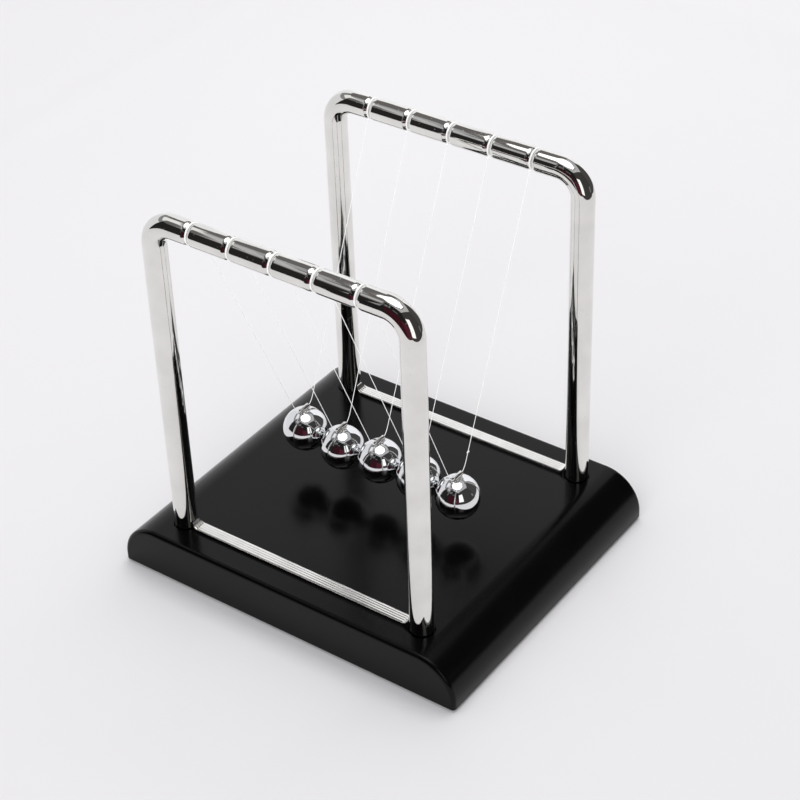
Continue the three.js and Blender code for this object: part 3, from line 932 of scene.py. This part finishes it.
# Square lights: name, place, the point they face, side, power; in metres and watts
LIGHTS = (
    ("overhead", (-0.05, 0.22, 0.95), (0, 0.04, 0), 0.6, 3.7),
    ("fill", (0.3, -1.1, 0.8), (0, 0, 0), 0.8, 6.0),
)


def glow_material(name, colour, strength):
    material = bpy.data.materials.new(name)
    material.use_nodes = True
    tree = material.node_tree
    tree.nodes.clear()
    glow = tree.nodes.new("ShaderNodeEmission")
    glow.inputs["Color"].default_value = (*colour, 1)
    glow.inputs["Strength"].default_value = strength
    out = tree.nodes.new("ShaderNodeOutputMaterial")
    tree.links.new(glow.outputs[0], out.inputs["Surface"])
    return material


def flat_card(name, corners, colour, strength):
    """A glowing or dark card that only reflections see; its corners are in millimetres."""
    mesh = bpy.data.meshes.new(name)
    mesh.from_pydata([Vector(corner) * MM for corner in corners], [], [range(len(corners))])
    mesh.materials.append(glow_material(name, colour, strength))
    card = bpy.data.objects.new(name, mesh)
    bpy.context.scene.collection.objects.link(card)
    card.visible_camera = False
    card.visible_diffuse = False
    card.visible_shadow = False
    card.visible_volume_scatter = False


def standing_card(name, start, end, low, high, colour, strength):
    corners = ((*start, low), (*end, low), (*end, high), (*start, high))
    flat_card(name, corners, colour, strength)


def roof_card(name, centre, half_sizes, height, sides, colour, strength):
    """Level card with its flat sides at the half sizes from its centre."""
    reach = 1 / math.cos(math.pi / sides)
    corners = []
    for i in range(sides):
        turn = 2 * math.pi * (i + 0.5) / sides
        x = centre[0] + half_sizes[0] * reach * math.cos(turn)
        y = centre[1] + half_sizes[1] * reach * math.sin(turn)
        corners.append((x, y, height))
    flat_card(name, corners, colour, strength)


def area_light(name, place, aim, side, power):
    data = bpy.data.lights.new(name, "AREA")
    data.shape = "SQUARE"
    data.size = side
    data.energy = power
    light = bpy.data.objects.new(name, data)
    light.location = place
    light.rotation_mode = "QUATERNION"
    light.rotation_quaternion = (Vector(aim) - Vector(place)).to_track_quat("-Z", "Y")
    light.visible_glossy = False
    bpy.context.scene.collection.objects.link(light)


def make_sky():
    world = bpy.data.worlds.new("world")
    world.use_nodes = True
    sky = world.node_tree.nodes["Background"]
    sky.inputs["Color"].default_value = SKY_COLOUR
    sky.inputs["Strength"].default_value = SKY_STRENGTH
    bpy.context.scene.world = world


def paper():
    finish = Finish("paper")
    mottle = finish.blend(finish.noise(9, 4), PAPER, PAPER * PAPER_MOTTLE)
    # Painted shade: the paper's colour is blended darker toward one side.
    along = finish.vector_math("DOT_PRODUCT", finish.place(), PAPER_PAINTED_SHADE_DIRECTION)
    shade = finish.spread(along, PAPER_PAINTED_SHADE_FROM, PAPER_PAINTED_SHADE_TO, 0, 1)
    finish.set("Base Color", finish.blend(shade, mottle, PAPER * PAPER_PAINTED_SHADE))
    finish.set("Roughness", finish.between(finish.noise(40, 2), 0.75, 0.85))
    return finish.material


def make_floor():
    mesh = bpy.data.meshes.new("floor")
    corners = [(x * FLOOR_REACH, y * FLOOR_REACH, 0) for x, y in ((-1, -1), (1, -1), (1, 1), (-1, 1))]
    mesh.from_pydata(corners, [], [range(4)])
    mesh.materials.append(paper())
    floor = bpy.data.objects.new("floor", mesh)
    bpy.context.scene.collection.objects.link(floor)


def make_studio():
    # The white paper and the black base keep their full contrast only with this transform.
    bpy.context.scene.view_settings.view_transform = "Standard"
    make_sky()
    make_floor()
    for card in CARDS:
        standing_card(*card)
    for card in ROOF_CARDS:
        roof_card(*card)
    for light in LIGHTS:
        area_light(*light)


# ---------------------------------------------------------------- assembly

def main():
    make_camera()
    chrome = frame_chrome("frame_chrome", 0.025, 0.075)
    sill_chrome = frame_chrome("sill_chrome", 0.1, 0.16)
    polished = ball_chrome()
    steel = tube_steel()
    line_nylon = nylon()
    rubber = foot_rubber()
    zinc = screw_zinc()
    make_base(base_plastic())
    for node in FRAMES:
        make_frame(node, chrome, sill_chrome)
    for i in BALLS:
        make_ball(i, polished)
        make_tube(i, steel)
        make_line(i, line_nylon)
        make_loop("front", i, line_nylon)
        make_loop("rear", i, line_nylon)
    paint("bottom_cover", cover_plastic())
    for i in CORNERS:
        make_foot(i, rubber)
        paint(f"frame_screw_{i}", zinc)
        paint(f"cover_screw_{i}", zinc)
    make_studio()


main()
